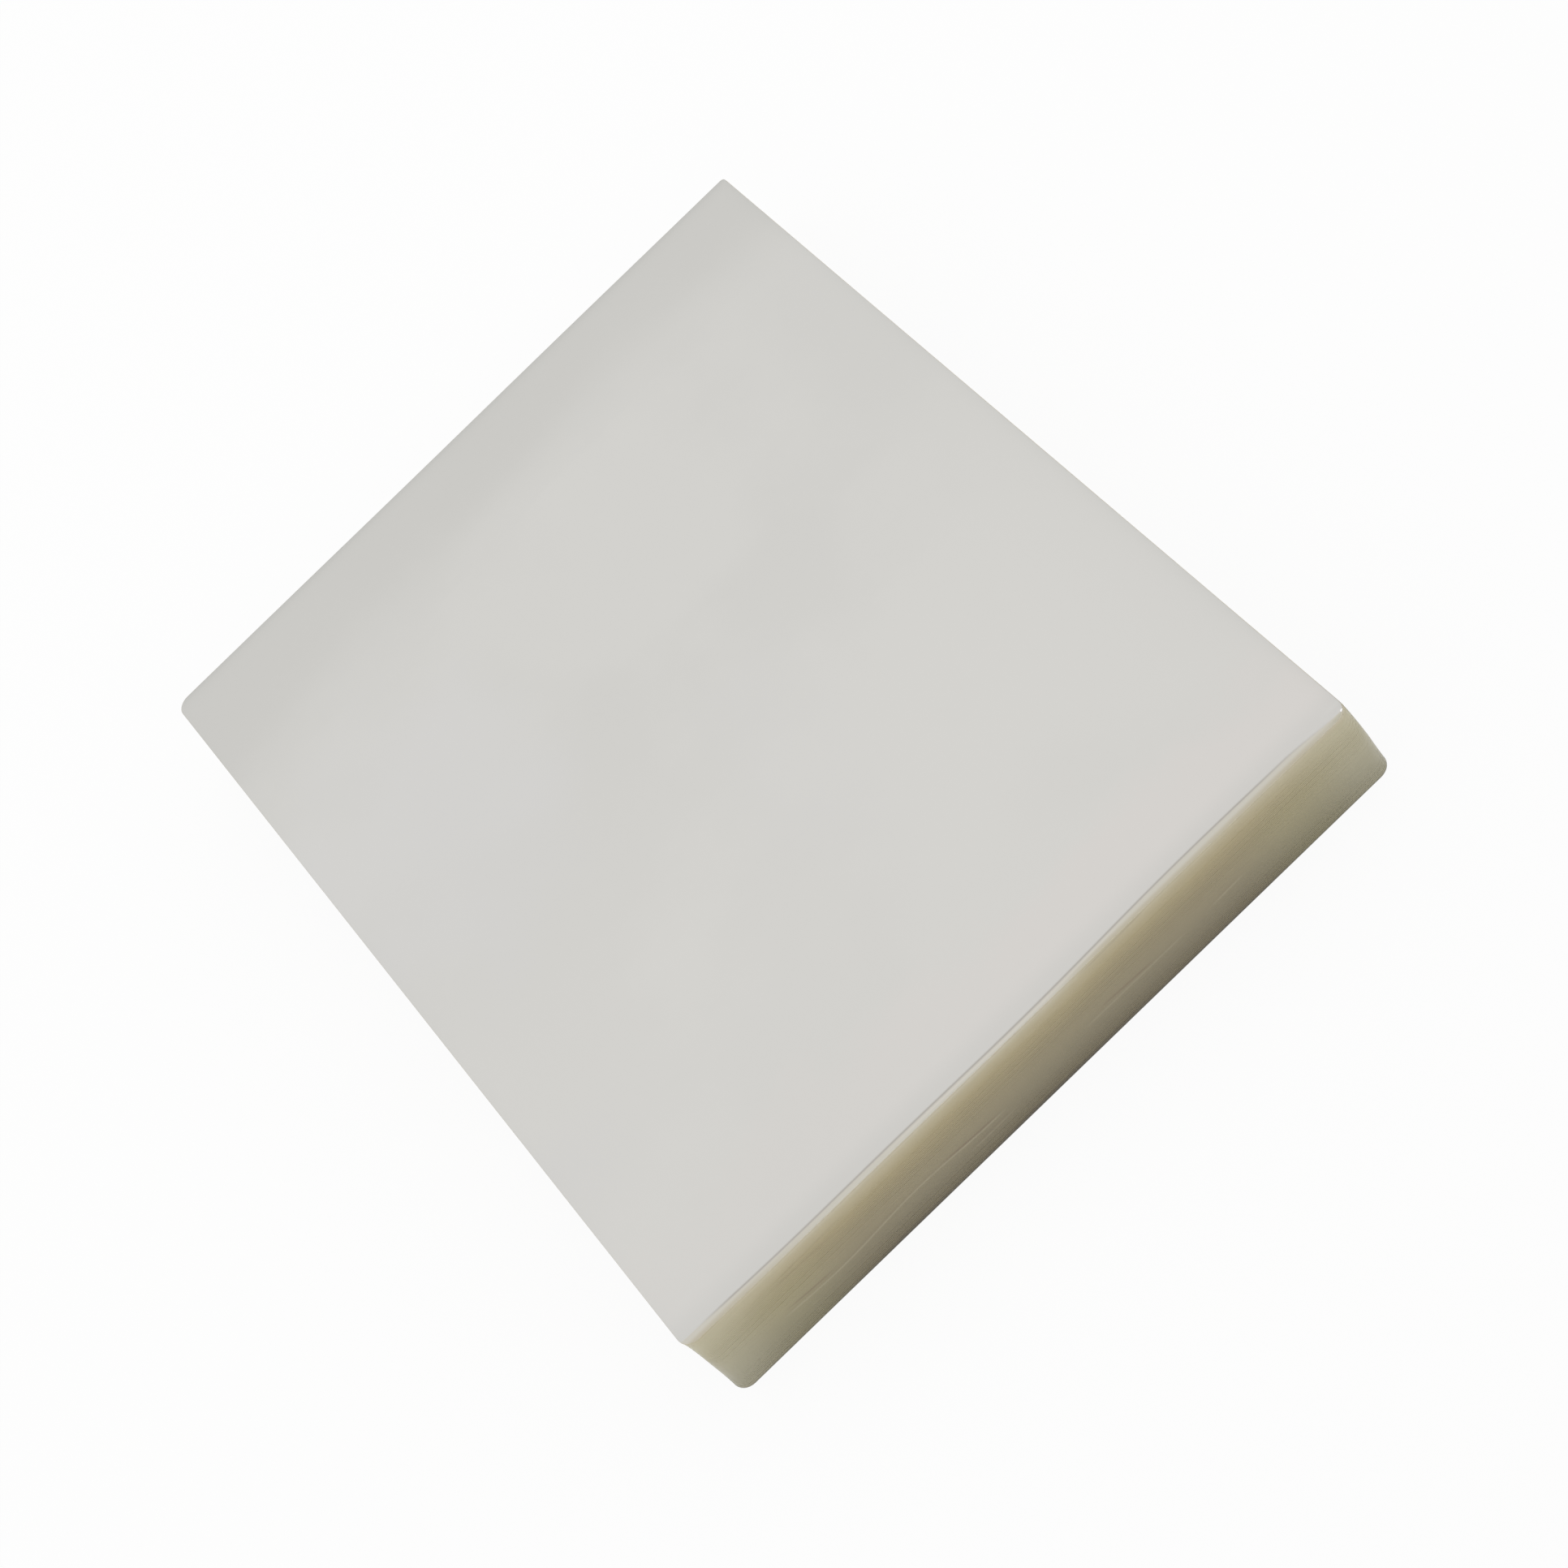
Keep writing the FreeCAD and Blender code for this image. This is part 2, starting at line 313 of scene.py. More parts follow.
def leaf_surface(sizes, number, upper, bottom, rings, line, normals):
    """One closed film leaf, as points, millimetres from the cut at each, quads and triangles.

    The outline is carried over the rings. Where a ring lies on the cut, its inset and drop are
    times the cut's rounding, which fades to nothing on the side of a leaf that is fused to the
    other. The inner faces stand half the leaf gap from the pouch's middle, closing on the
    strip, and the upper face has a shallow groove along the hot bar's mark.
    """
    thick = POUCH_HEIGHT
    wander = edge_wander(line, number, sizes.edge_wander)
    line = line - normals * wander[:, None]
    toward, inset, drop, face = (column[:, None] for column in rings.T)
    on_cut = np.abs(face) < 0.75
    above = face > -0.25
    fused_side = ~above if upper else above
    free = openness(line[:, 0], line[:, 1], sizes)[None, :]
    rounding = np.where(fused_side, sizes.cut_round * np.maximum(free, 0.06), sizes.cut_round)
    move = np.where(on_cut, inset * rounding, inset)
    x = toward * line[:, 0] * (1 - 2 * move / sizes.pouch_width)
    y = toward * line[:, 1] * (1 - 2 * move / sizes.pouch_length)
    gap = sizes.leaf_gap / 2 * openness(x, y, sizes)
    middle = thick / 2 + (gap if upper else -gap)
    outer = thick if upper else 0.0
    z = np.where(above == upper, outer, middle)
    z = z - np.where(above, 1, -1) * np.where(on_cut, drop * rounding, 0.0)
    if upper:
        mark = -sizes.pouch_length / 2 + sizes.bar_mark * mark_place(x)
        groove = 0.03 * MM * np.exp(-((y - mark) / (0.3 * MM)) ** 2)
        z = z - np.where(face > 0.75, groove, 0.0)
    z = z + bottom
    z = z * (1 - sag_at(x, y, sizes) / STACK_HEIGHT)
    points = np.stack([x, y, z], axis=2).reshape(-1, 3)
    to_cut = np.minimum(sizes.pouch_width / 2 - np.abs(x), sizes.pouch_length / 2 - np.abs(y))
    from_cut = np.where(toward < 1, to_cut, np.where(on_cut, 0.0, inset) + 0 * x).reshape(-1) / MM
    count, around = x.shape
    top_pole = np.array([0, 0, z[0].mean()])
    low_pole = np.array([0, 0, z[-1].mean()])
    points = np.concatenate([points, top_pole[None], low_pole[None]])
    from_cut = np.concatenate([from_cut, [sizes.pouch_width / 2 / MM] * 2])
    grid = np.arange(count * around).reshape(count, around)
    after = np.roll(grid, -1, axis=1)
    quads = np.stack([grid[:-1], grid[1:], after[1:], after[:-1]], axis=2).reshape(-1, 4)
    top_fan = np.stack([np.full(around, count * around), grid[0], after[0]], axis=1)
    low_fan = np.stack([np.full(around, count * around + 1), after[-1], grid[-1]], axis=1)
    return points, from_cut, quads, np.concatenate([top_fan, low_fan])


def lay_pouch(node, name, sizes, outline_steps, outer_rings, inner_rings, material):
    """A pouch as one piece of two leaves, laid where its node lies and turned as it is.

    Its middle is the stack's slow lean plus a share of the node's own stray from that lean.
    """
    number = int(node.rsplit("_", 1)[1])
    low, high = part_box(node)
    line, normals = cut_line(sizes, *outline_steps)
    points, from_cuts, quads, fans = [], [], [], []
    count = 0
    for upper in (False, True):
        rings = outer_rings if upper else inner_rings
        leaf = leaf_surface(sizes, number, upper, low[2], rings, line, normals)
        points.append(leaf[0])
        from_cuts.append(leaf[1])
        quads.append(leaf[2] + count)
        fans.append(leaf[3] + count)
        count += len(leaf[0])
    points = np.concatenate(points)
    angle = sizes.stray_shown * sizes.turn_scatter * math.sin(math.radians(TURN_STEP * (number - 1)))
    depth = 1 - (number - 1) / (len(POUCH_NODES) - 1)
    bow = math.sin(math.radians(BOW_END) * depth ** BOW_POWER) - BOW_MIDDLE
    wave = math.sin(math.radians(END_WAVE) * depth)
    middle = []
    for axis, lean in enumerate((sizes.side_lean * bow, sizes.end_lean * wave)):
        stray = (low[axis] + high[axis]) / 2 - lean
        middle.append(lean + sizes.stray_shown * stray)
    x = points[:, 0] * math.cos(angle) - points[:, 1] * math.sin(angle) + middle[0]
    y = points[:, 0] * math.sin(angle) + points[:, 1] * math.cos(angle) + middle[1]
    points = np.stack([x, y, points[:, 2]], axis=1)
    mesh = bpy.data.meshes.new(name)
    faces = np.concatenate(quads).tolist() + np.concatenate(fans).tolist()
    mesh.from_pydata(points.tolist(), [], faces)
    mesh.polygons.foreach_set("use_smooth", np.ones(len(faces), dtype=bool))
    from_cut = mesh.attributes.new("from_cut", "FLOAT", "POINT")
    from_cut.data.foreach_set("value", np.concatenate(from_cuts).astype(np.float32))
    mesh.materials.append(material)
    mesh.update()
    piece = bpy.data.objects.new(name, mesh)
    bpy.context.scene.collection.objects.link(piece)
    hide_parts(node)
    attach(piece, "root")
    return piece


# Materials

def add(tree, kind, inputs=None, **settings):
    """A node of this kind with its settings, and with numbers or links put into its inputs."""
    made = tree.nodes.new(kind)
    for key, value in settings.items():
        setattr(made, key, value)
    for key, value in (inputs or {}).items():
        if isinstance(value, bpy.types.NodeSocket):
            tree.links.new(value, made.inputs[key])
        else:
            made.inputs[key].default_value = value
    return made


def calc(tree, operation, first, second=0.0, third=0.0, clamp=False):
    """The result of one sum on numbers or links."""
    made = add(tree, "ShaderNodeMath", {0: first, 1: second, 2: third}, operation=operation, use_clamp=clamp)
    return made.outputs[0]


def ease(tree, value, low, high, start=0.0, end=1.0):
    """A value that goes smoothly from start to end as the input goes from low to high."""
    ends = {"From Min": low, "From Max": high, "To Min": start, "To Max": end}
    made = add(tree, "ShaderNodeMapRange", {"Value": value, **ends}, interpolation_type="SMOOTHSTEP")
    return made.outputs["Result"]


def blend(tree, share, first, second):
    """The first colour where the share is 0 and the second where it is 1."""
    made = add(tree, "ShaderNodeMix", {0: share}, data_type="RGBA")
    for index, colour in ((6, first), (7, second)):
        if isinstance(colour, bpy.types.NodeSocket):
            tree.links.new(colour, made.inputs[index])
        else:
            made.inputs[index].default_value = (*colour, 1.0)
    return made.outputs[2]


def cloud(tree, place, scale, detail=3.0, roughness=0.5, stretch=(1, 1, 1), shift=(0, 0, 0)):
    """Soft noise between 0 and 1 at this many waves a metre, stretched along the axes."""
    mapped = add(tree, "ShaderNodeMapping", {"Vector": place, "Scale": stretch, "Location": shift})
    made = add(tree, "ShaderNodeTexNoise", {"Vector": mapped.outputs[0], "Scale": scale, "Detail": detail,
                                            "Roughness": roughness}, noise_dimensions="3D")
    return made.outputs["Fac"]


def gauss(tree, offset, width):
    """1 where the offset is 0, fading to both sides over the width."""
    share = calc(tree, "DIVIDE", offset, width)
    squared = calc(tree, "MULTIPLY", share, share)
    return calc(tree, "EXPONENT", calc(tree, "MULTIPLY", squared, -1.0))


def fading(tree, way, reach, share):
    """The share at an edge, falling off as exp(-way / reach) with the way from that edge."""
    power = calc(tree, "EXPONENT", calc(tree, "DIVIDE", way, -reach))
    return calc(tree, "MULTIPLY", power, share)


def sine(tree, value, wavelength, phase, size):
    """A sine wave of this length in metres and this size."""
    turned = calc(tree, "MULTIPLY_ADD", value, 2 * math.pi / wavelength, phase)
    return calc(tree, "MULTIPLY", calc(tree, "SINE", turned), size)


def lip_share(tree, x):
    """How far the front lip of the top film turns down into the stack's colour at each x."""
    right = calc(tree, "MULTIPLY", ease(tree, x, 0.008, 0.03), ease(tree, x, 0.104, 0.09, 0.5, 1.0))
    left = ease(tree, x, -0.055, -0.1, 0.0, 0.9)
    return calc(tree, "MAXIMUM", right, left)


def ways_in(tree, x, y, sizes):
    """The ways in from the nearer long side and from the nearer end."""
    to_side = calc(tree, "SUBTRACT", sizes.pouch_width / 2, calc(tree, "ABSOLUTE", x))
    to_end = calc(tree, "SUBTRACT", sizes.pouch_length / 2, calc(tree, "ABSOLUTE", y))
    return to_side, to_end


def cut_edge_colour(tree, x, y, z, place, colours, sizes):
    """Film seen edge on: darker and browner with depth, partly the stacked film's olive and partly painted
    light and shade, and paler and greener by the corners, painted light that shines through them.

    The depth is the share of the stack's height below the top, shifted a little along the
    edge. The corner share falls off as exp(-(d / 22 mm)^2), with d the way to the corner, and
    the olive ring is strongest at d = 25 mm. The film is darkest at its foot, painted shade where it rests
    on the table, and a little darker where a fused end turns into a long side, also painted shade.
    """
    depth = calc(tree, "MULTIPLY_ADD", z, -1 / STACK_HEIGHT, 1.0)
    shallow = calc(tree, "SUBTRACT", 1.0, depth, clamp=True)
    drift = calc(tree, "MULTIPLY_ADD", lip_share(tree, x), 0.04, -0.008)
    drift = calc(tree, "MULTIPLY", drift, shallow)
    smear = cloud(tree, place, 22.0, 2.0, stretch=(1, 1, 9))
    smear = ease(tree, smear, 0.3, 0.7, -0.012, 0.012)
    depth = calc(tree, "ADD", calc(tree, "ADD", depth, drift), smear)
    # Painted light and shade with depth: paler near the top, darker towards the foot.
    ramp = add(tree, "ShaderNodeValToRGB", {"Fac": depth})
    elements = ramp.color_ramp.elements
    while len(elements) < len(EDGE_STOPS):
        elements.new(0.5)
    for element, (at, name) in zip(elements, EDGE_STOPS):
        element.position = at
        element.color = (*getattr(colours, name), 1.0)
    to_side, to_end = ways_in(tree, x, y, sizes)
    way = calc(tree, "MAXIMUM", calc(tree, "ADD", to_side, to_end), 0.0)
    # Painted light by the corners, where light shines through them.
    corner = blend(tree, ease(tree, depth, 0.05, 0.95), colours.corner_lit_upper, colours.corner_lit_lower)
    corner_light_share = calc(tree, "MULTIPLY", gauss(tree, way, 22.0 * MM), ease(tree, depth, 0.0, 0.12))
    colour = blend(tree, corner_light_share, ramp.outputs["Color"], corner)
    ring = gauss(tree, calc(tree, "SUBTRACT", way, 25.0 * MM), 14.0 * MM)
    ring = calc(tree, "MULTIPLY", ring, ease(tree, depth, 0.1, 0.45, 0.0, 0.55))
    olive = blend(tree, ease(tree, depth, 0.3, 1.0), colours.olive_upper, colours.olive_lower)
    colour = blend(tree, ring, colour, olive)
    near = calc(tree, "ADD", y, sizes.pouch_length / 2)
    # Painted shade where the near end turns into a long side.
    fused_end_shade = calc(tree, "MULTIPLY", ease(tree, near, 2.0 * MM, 4.1 * MM, 0.0, 0.28),
                     ease(tree, near, 22.0 * MM, 4.5 * MM))
    # Painted shade along the foot, where the stack meets the table.
    foot = ease(tree, z, 0.45 * MM, 0.1 * MM, 0.0, 0.55)
    return blend(tree, calc(tree, "MAXIMUM", foot, fused_end_shade), colour, colours.edge_foot_shade)


def along_edge(tree, x, y, sizes):
    """The place along an edge that its streaks go by: x in front, -x behind, 0.7 y on the sides."""
    to_side, to_end = ways_in(tree, x, y, sizes)
    on_end = calc(tree, "MULTIPLY", x, calc(tree, "MULTIPLY", calc(tree, "SIGN", y), -1.0))
    on_side = calc(tree, "MULTIPLY", y, calc(tree, "MULTIPLY", calc(tree, "SIGN", x), 0.7))
    is_side = calc(tree, "GREATER_THAN", to_end, to_side)
    return calc(tree, "MULTIPLY_ADD", is_side, calc(tree, "SUBTRACT", on_side, on_end), on_end)


def streaks(tree, along, z, colour, colours):
    """Long streaks where sheets bow, painted light: a pale line of painted highlight with a pinkish dark
    line of painted shadow above it.

    A streak's height is a mean plus a rise and a sine along the edge, and both its ends fade.
    """
    fade = 6.0 * MM
    for start, end, height, wave, phase, size, rise, pale_share, dark_share in STREAKS:
        line = calc(tree, "ADD", sine(tree, along, wave, phase, size), height)
        off = calc(tree, "SUBTRACT", z, calc(tree, "MULTIPLY_ADD", along, rise, line))
        above = calc(tree, "SUBTRACT", off, 0.8 * MM)
        there = calc(tree, "MULTIPLY", ease(tree, along, start, start + fade),
                     ease(tree, along, end, end - fade))
        # Painted highlight along the pale line and painted shadow along the dark line above it.
        pale = calc(tree, "MULTIPLY", gauss(tree, off, 0.32 * MM), there)
        dark = calc(tree, "MULTIPLY", gauss(tree, above, 0.35 * MM), there)
        colour = blend(tree, calc(tree, "MULTIPLY", pale, pale_share), colour, colours.streak_highlight)
        colour = blend(tree, calc(tree, "MULTIPLY", dark, dark_share), colour, colours.streak_shadow)
    return colour


def clouded_film(tree, x, y, place, colours):
    """Milky film flat on: soft clouds, a warm zone by the seal, painted shade that darkens it towards the
    far end, and a duller far end.

    The warm zone's border is ragged by noise. A faint ragged line crosses the film near the open end,
    from y = 100 mm on the left to 112 mm on the right, and the film is duller beyond it.
    """
    clouds = cloud(tree, place, 15.0, 4.0)
    colour = blend(tree, ease(tree, clouds, 0.40, 0.62, 0.0, 0.5), colours.face, colours.face_pale)
    # Painted shade: the film darkens towards the open end, where less light falls.
    colour = blend(tree, ease(tree, y, -0.12, 0.10), colour, colours.face_far_shade)
    colour = blend(tree, ease(tree, clouds, 0.40, 0.62, 0.0, 0.35), colour, colours.face_pale)
    patches = cloud(tree, place, 9.0, 2.0, shift=(0.31, 0.12, 0))
    cool = calc(tree, "MULTIPLY", ease(tree, patches, 0.42, 0.6), ease(tree, x, 0.04, -0.03))
    cool = calc(tree, "MULTIPLY", cool, ease(tree, y, -0.12, -0.05, 0.0, 0.8))
    colour = blend(tree, cool, colour, colours.face_cool)
    ragged = cloud(tree, place, 30.0, 3.0, shift=(0.7, 0.2, 0))
    ragged = calc(tree, "MULTIPLY_ADD", ragged, 0.05, -0.025)
    warm = ease(tree, calc(tree, "ADD", y, ragged), -0.112, -0.132)
    warm = calc(tree, "MULTIPLY", warm, ease(tree, x, -0.11, 0.06, 0.3, 1.0))
    colour = blend(tree, warm, colour, colours.face_warm)
    right = calc(tree, "MULTIPLY", ease(tree, y, -0.05, 0.15), ease(tree, x, 0.05, 0.11, 0.3, 0.8))
    dull = calc(tree, "MAXIMUM", ease(tree, y, 0.09, 0.15), right)
    colour = blend(tree, dull, colour, colours.face_dull)
    far_border = calc(tree, "MULTIPLY_ADD", ease(tree, x, -0.10, 0.10), 0.012, 0.100)
    far_border = calc(tree, "ADD", far_border, calc(tree, "MULTIPLY", ragged, 0.2))
    beyond = ease(tree, calc(tree, "SUBTRACT", y, far_border), -0.5 * MM, 0.5 * MM, 0.0, 0.35)
    return blend(tree, beyond, colour, colours.face_dull)


def sealed_end(tree, x, near, colour, colours, sizes):
    """The film by its sealed edge, with near the way in from that edge.

    Duller film runs up to the dark line of the hot bar's mark. Outside that line lies the fused
    strip, with a painted highlight in its middle, a lip that turns down, and a patch by the corner.
    """
    colour = blend(tree, ease(tree, near, 0.012, 0.003, 0.0, 0.6), colour, colours.face_dull)
    start, end, turn = MARK_TURN
    mark = ease(tree, x, start, end, 1.0, 1 - turn)
    for length, phase, size in MARK_WAVES:
        mark = calc(tree, "ADD", mark, sine(tree, x, length, phase, size))
    off = calc(tree, "SUBTRACT", near, calc(tree, "MULTIPLY", mark, sizes.bar_mark))
    colour = blend(tree, ease(tree, off, 0.15 * MM, -0.25 * MM), colour, colours.strip)
    # Painted highlight: a bright band along the middle of the sealed strip.
    middle = calc(tree, "MULTIPLY", ease(tree, x, -0.05, -0.025), ease(tree, x, 0.04, 0.02))
    band = gauss(tree, calc(tree, "ADD", off, 0.9 * MM), 0.35 * MM)
    colour = blend(tree, calc(tree, "MULTIPLY", middle, band), colour, colours.strip_highlight)
    lip = calc(tree, "MULTIPLY", ease(tree, near, 1.8 * MM, 0.4 * MM), lip_share(tree, x))
    colour = blend(tree, lip, colour, colours.lip)
    corner = calc(tree, "MULTIPLY", ease(tree, near, 1.6 * MM, 0.5 * MM), ease(tree, x, 0.100, 0.106))
    colour = blend(tree, corner, colour, colours.strip_corner)
    ends = calc(tree, "MULTIPLY", ease(tree, x, -0.106, -0.09), ease(tree, x, 0.108, 0.075))
    line = calc(tree, "MULTIPLY", gauss(tree, off, 0.32 * MM), ends)
    return blend(tree, line, colour, colours.seal_line)


def dimmer_edges(tree, x, y, near, colour, colours, sizes):
    """The film a little darker along its far and long edges, fading with the way in from them, with a narrow
    border of painted shade where the film rounds away at its cut edge.
    """
    to_right = calc(tree, "SUBTRACT", sizes.pouch_width / 2, x)
    to_left = calc(tree, "ADD", x, sizes.pouch_width / 2)
    to_far = calc(tree, "SUBTRACT", sizes.pouch_length / 2, y)
    wide = calc(tree, "MULTIPLY", fading(tree, to_right, 14.0 * MM, 0.35), ease(tree, near, 0.01, 0.06))
    colour = blend(tree, wide, colour, colours.face_dull)
    # Painted shade in a narrow border where the film rounds away at its cut edges.
    rim_shade = calc(tree, "ADD", fading(tree, to_right, 1.5 * MM, 0.24), fading(tree, to_left, 1.5 * MM, 0.06))
    rim_shade = calc(tree, "MULTIPLY", rim_shade, ease(tree, near, 1.0 * MM, 3.0 * MM))
    rim_shade = calc(tree, "MAXIMUM", rim_shade, fading(tree, to_far, 1.5 * MM, 0.5))
    return blend(tree, rim_shade, colour, colours.rim_shade)


def glinting_corner(tree, x, y, z, near, colour, colours):
    """A small painted glint, a painted highlight, by the near right corner of the top film, in a faint
    painted reflection.

    Both fade with the sum of the squares of x and y, counted from the glint's middle in shares
    of its half sizes.
    """
    squares = []
    for value, middle, size in zip((x, y), GLINT_PLACE, GLINT_SIZE):
        share = calc(tree, "DIVIDE", calc(tree, "SUBTRACT", value, middle), size)
        squares.append(calc(tree, "MULTIPLY", share, share))
    way = calc(tree, "ADD", *squares)
    on_top = ease(tree, z, 0.4 * STACK_HEIGHT, 0.6 * STACK_HEIGHT)
    # Painted reflection: a faint whitish sheen round the glint.
    haze_reflection = calc(tree, "MULTIPLY", gauss(tree, way, 60.0), ease(tree, near, 3.0 * MM, 4.5 * MM, 0.0, 0.25))
    colour = blend(tree, calc(tree, "MULTIPLY", haze_reflection, on_top), colour, colours.haze_reflection)
    # Painted highlight: the small glint itself.
    corner_glint = calc(tree, "MULTIPLY", ease(tree, way, 1.0, 0.5), on_top)
    return blend(tree, corner_glint, colour, colours.corner_glint)


def face_colour(tree, x, y, z, place, colours, sizes):
    """The film flat on: its clouds, then the sealed end, the dimmer edges with their painted shade, and the
    painted glint on them.
    """
    near = calc(tree, "ADD", y, sizes.pouch_length / 2)
    colour = clouded_film(tree, x, y, place, colours)
    colour = sealed_end(tree, x, near, colour, colours, sizes)
    colour = dimmer_edges(tree, x, y, near, colour, colours, sizes)
    return glinting_corner(tree, x, y, z, near, colour, colours)


def film_material(name, sizes, colours, with_face):
    """Milky film: glossy, faintly cloudy flat on, and olive through the stack's depth edge on, with painted
    light and shade in its edge colours.
    """
    made = bpy.data.materials.new(name)
    made.use_nodes = True
    tree = made.node_tree
    tree.nodes.clear()
    place = add(tree, "ShaderNodeTexCoord").outputs["Object"]
    x, y, z = add(tree, "ShaderNodeSeparateXYZ", {0: place}).outputs
    colour = cut_edge_colour(tree, x, y, z, place, colours, sizes)
    colour = streaks(tree, along_edge(tree, x, y, sizes), z, colour, colours)
    grain = cloud(tree, place, 900.0, 2.0, stretch=(0.12, 0.12, 1))
    colour = blend(tree, ease(tree, grain, 0.35, 0.75, 0.0, 0.03), colour, colours.speck)
    roughness = 0.3
    if with_face:
        from_cut = add(tree, "ShaderNodeAttribute", attribute_name="from_cut").outputs["Fac"]
        face = face_colour(tree, x, y, z, place, colours, sizes)
        colour = blend(tree, ease(tree, from_cut, 0.0, 0.05), colour, face)
        roughness = ease(tree, cloud(tree, place, 26.0, 3.0), 0.3, 0.7, 0.055, 0.08)
    waves = cloud(tree, place, 60.0, 2.0)
    bump = add(tree, "ShaderNodeBump", {"Height": waves, "Strength": 0.05, "Distance": 0.2 * MM})
    shader = add(tree, "ShaderNodeBsdfPrincipled", {
        "Base Color": colour, "Roughness": roughness, "IOR": 1.5, "Normal": bump.outputs[0],
    })
    output = add(tree, "ShaderNodeOutputMaterial")
    tree.links.new(shader.outputs[0], output.inputs["Surface"])
    return made


# The picture

def camera_matrix(tilt, yaw, roll, place):
    """A camera that looks along +Y, tilted down, turned about Z, then rolled about its view."""
    ahead = Vector((0, math.cos(tilt), -math.sin(tilt)))
    right = Vector((1, 0, 0))
    up = right.cross(ahead)
    turn = Matrix.Rotation(yaw, 3, "Z")
    ahead, right, up = turn @ ahead, turn @ right, turn @ up
    rolled_right = math.cos(roll) * right + math.sin(roll) * up
    rolled_up = -math.sin(roll) * right + math.cos(roll) * up
    axes = Matrix((rolled_right, rolled_up, -ahead)).transposed().to_4x4()
    return Matrix.Translation(place) @ axes


def seen_directly(tree):
    """1 for what the camera, a reflection or clear plastic sees, and 0 for the light it gives."""
    paths = add(tree, "ShaderNodeLightPath").outputs
    seen = calc(tree, "MAXIMUM", paths["Is Camera Ray"], paths["Is Glossy Ray"])
    return calc(tree, "MAXIMUM", seen, paths["Is Transmission Ray"])


def floor_material(colour):
    """Pale floor: plain to the lamps, and all but white to the camera, so the shadow stays faint."""
    made = bpy.data.materials.new("pale_floor")
    made.use_nodes = True
    tree = made.node_tree
    tree.nodes.clear()
    plain = add(tree, "ShaderNodeBsdfDiffuse", {"Color": (*colour, 1.0)})
    glow = add(tree, "ShaderNodeEmission", {"Color": (1, 1, 1, 1), "Strength": 1.0})
    share = calc(tree, "MULTIPLY", seen_directly(tree), 0.93)
    mixed = add(tree, "ShaderNodeMixShader", {0: share, 1: plain.outputs[0], 2: glow.outputs[0]})
    output = add(tree, "ShaderNodeOutputMaterial")
    tree.links.new(mixed.outputs[0], output.inputs["Surface"])
    return made


def studio_world(low, high):
    """Light from the walls and ceiling, white where it is seen directly.

    The strength goes smoothly from the walls' to the ceiling's between 25 and 45 degrees up.
    """
    world = bpy.data.worlds.new("studio")
    world.use_nodes = True
    tree = world.node_tree
    tree.nodes.clear()
    way = add(tree, "ShaderNodeTexCoord").outputs["Generated"]
    height = add(tree, "ShaderNodeSeparateXYZ", {0: way}).outputs[2]
    walls_end, ceiling_start = math.sin(math.radians(25)), math.sin(math.radians(45))
    strength = ease(tree, height, walls_end, ceiling_start, low, high)
    light = add(tree, "ShaderNodeBackground", {"Color": (1, 1, 1, 1), "Strength": strength})
    white = add(tree, "ShaderNodeBackground", {"Color": (1, 1, 1, 1), "Strength": 1.0})
    seen = seen_directly(tree)
    mixed = add(tree, "ShaderNodeMixShader", {0: seen, 1: light.outputs[0], 2: white.outputs[0]})
    output = add(tree, "ShaderNodeOutputWorld")
    tree.links.new(mixed.outputs[0], output.inputs["Surface"])
    return world


# Operators

class FILM_OT_lay_stacked(bpy.types.Operator):
    """Lay the pouches between the bottom one and the top one"""
    bl_idname = "film.lay_stacked"
    bl_label = "Lay stacked pouches"

    def execute(self, context):
        scene = context.scene
        sizes = scene.pouch_sizes
        material = film_material("stacked_film", sizes, scene.film_colours, False)
        rings = leaf_rings(2, [0.4 * MM], [0.5, 0.95])
        for node in STACKED_NODES:
            lay_pouch(node, f"film_{node}", sizes, (5, 26), rings, rings, material)
        return {"FINISHED"}


class FILM_OT_lay_top(bpy.types.Operator):
    """Lay the top pouch, whose upper leaf shows its clouds, its waves and its seal"""
    bl_idname = "film.lay_top"
    bl_label = "Lay top pouch"

    def execute(self, context):
        scene = context.scene
        sizes = scene.pouch_sizes
        material = film_material("top_film", sizes, scene.film_colours, True)
        # Rings 0.15 mm apart over the sealed strip carry the groove of the hot bar's mark.
        insets = [3.3 * MM - 0.15 * MM * step for step in range(22)] + [0.07 * MM]
        fine = leaf_rings(3, insets, np.linspace(0.02, 0.98, 49).tolist())
        plain = leaf_rings(3, [0.4 * MM], [0.5, 0.95])
        lay_pouch(TOP_NODE, "film_top_pouch", sizes, (10, 70), fine, plain, material)
        return {"FINISHED"}


class FILM_OT_lay_bottom(bpy.types.Operator):
    """Lay the bottom pouch, whose lower leaf rests on the table"""
    bl_idname = "film.lay_bottom"
    bl_label = "Lay bottom pouch"

    def execute(self, context):
        scene = context.scene
        sizes = scene.pouch_sizes
        material = film_material("bottom_film", sizes, scene.film_colours, True)
        rings = leaf_rings(2, [1.6 * MM, 0.4 * MM], [0.5, 0.95])
        lay_pouch(BOTTOM_NODE, "film_bottom_pouch", sizes, (8, 40), rings, rings,
                  material)
        return {"FINISHED"}


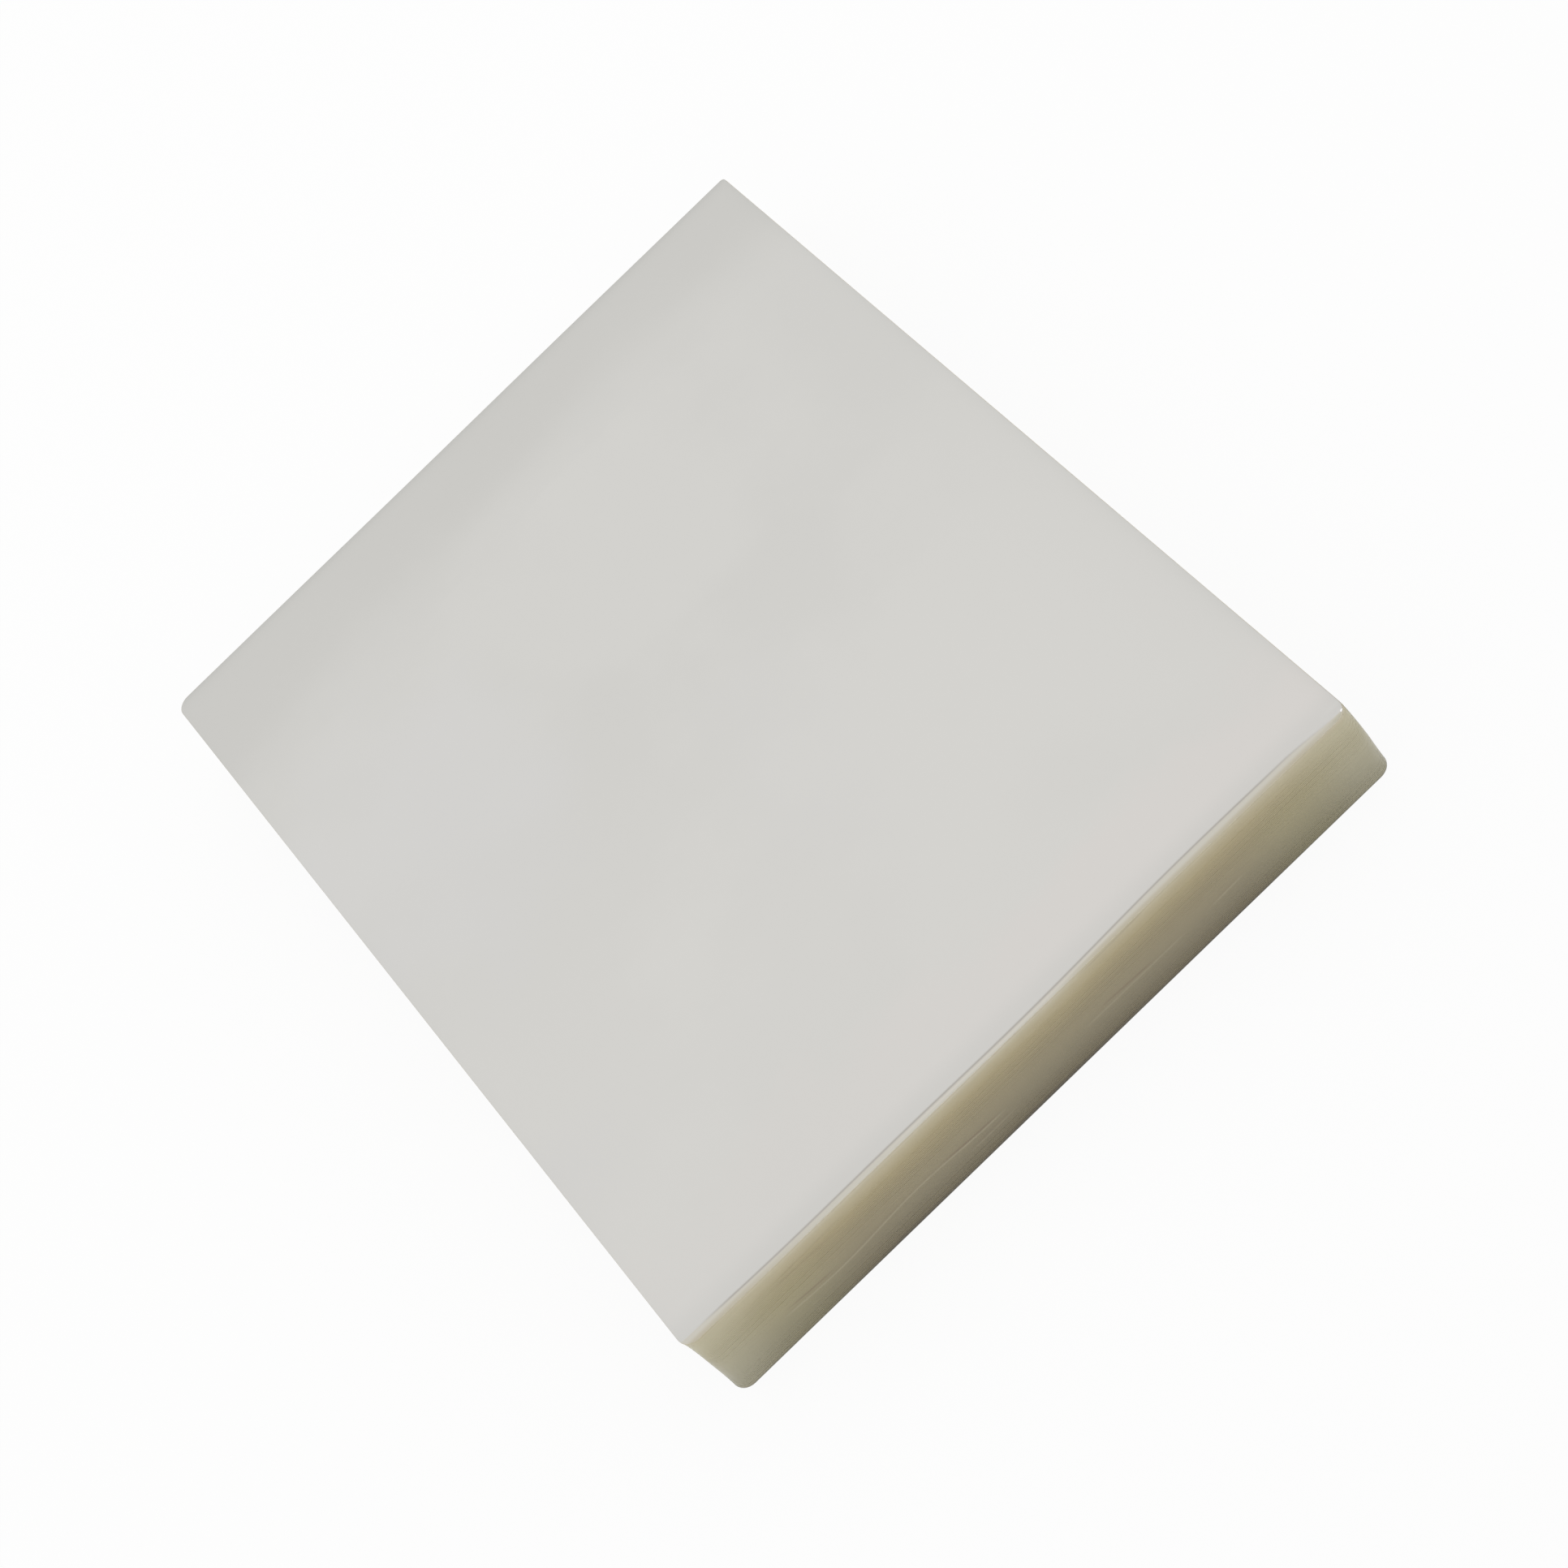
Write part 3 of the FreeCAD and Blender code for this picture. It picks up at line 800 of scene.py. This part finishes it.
class FILM_OT_set_stage(bpy.types.Operator):
    """Set the floor, the soft box, the world and the camera round the stack"""
    bl_idname = "film.set_stage"
    bl_label = "Set stage"

    def execute(self, context):
        scene = context.scene
        light = scene.stage_light
        steps = np.linspace(-FLOOR_REACH, FLOOR_REACH, FLOOR_LINES)
        x, y = np.meshgrid(steps, steps)
        points = np.stack([x, y, np.full_like(x, -0.05 * MM)], axis=2).reshape(-1, 3)
        grid = np.arange(x.size).reshape(x.shape)
        corners = [grid[:-1, :-1], grid[:-1, 1:], grid[1:, 1:], grid[1:, :-1]]
        faces = np.stack(corners, axis=2).reshape(-1, 4)
        mesh = bpy.data.meshes.new("floor")
        mesh.from_pydata(points.tolist(), [], faces.tolist())
        mesh.materials.append(floor_material(light.floor))
        floor = bpy.data.objects.new("floor", mesh)
        scene.collection.objects.link(floor)
        lamp = bpy.data.lights.new("soft_box", "AREA")
        lamp.shape = "RECTANGLE"
        lamp.size = 2.4
        lamp.size_y = 1.7
        lamp.energy = light.box_power
        box = bpy.data.objects.new("soft_box", lamp)
        box.location = (0.0, 0.46, 1.03)
        box.rotation_euler = (0.0, 0.0, math.radians(3))
        scene.collection.objects.link(box)
        scene.world = studio_world(light.low_light, light.high_light)
        data = bpy.data.cameras.new("camera")
        data.sensor_width = SENSOR_WIDTH
        data.lens = SENSOR_WIDTH * FOCAL_PIXELS / FRAME_PIXELS
        data.clip_start = 0.01
        camera = bpy.data.objects.new("camera", data)
        camera.matrix_world = camera_matrix(CAMERA_TILT, CAMERA_YAW, CAMERA_ROLL, CAMERA_PLACE)
        scene.collection.objects.link(camera)
        scene.camera = camera
        scene.view_settings.view_transform = "Standard"
        return {"FINISHED"}


class FILM_PT_panel(bpy.types.Panel):
    """Lists the sizes, the colours and the steps that lay the stack"""
    bl_label = "Laminating pouches"
    bl_idname = "FILM_PT_panel"
    bl_space_type = "VIEW_3D"
    bl_region_type = "UI"
    bl_category = "Pouches"

    def draw(self, context):
        scene = context.scene
        for group in (scene.pouch_sizes, scene.film_colours, scene.stage_light):
            box = self.layout.box()
            for name in group.__annotations__:
                box.prop(group, name)
        for operator in OPERATORS:
            self.layout.operator(operator.bl_idname)


GROUPS = (PouchSizes, FilmColours, StageLight)
OPERATORS = (FILM_OT_lay_bottom, FILM_OT_lay_stacked, FILM_OT_lay_top, FILM_OT_set_stage)
CLASSES = (*GROUPS, *OPERATORS, FILM_PT_panel)


def register():
    for item in CLASSES:
        bpy.utils.register_class(item)
    bpy.types.Scene.pouch_sizes = PointerProperty(type=PouchSizes)
    bpy.types.Scene.film_colours = PointerProperty(type=FilmColours)
    bpy.types.Scene.stage_light = PointerProperty(type=StageLight)


def unregister():
    del bpy.types.Scene.stage_light
    del bpy.types.Scene.film_colours
    del bpy.types.Scene.pouch_sizes
    for item in reversed(CLASSES):
        bpy.utils.unregister_class(item)


def main():
    register()
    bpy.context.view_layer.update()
    bpy.ops.film.lay_bottom()
    bpy.ops.film.lay_stacked()
    bpy.ops.film.lay_top()
    bpy.ops.film.set_stage()


if __name__ == "__main__":
    main()
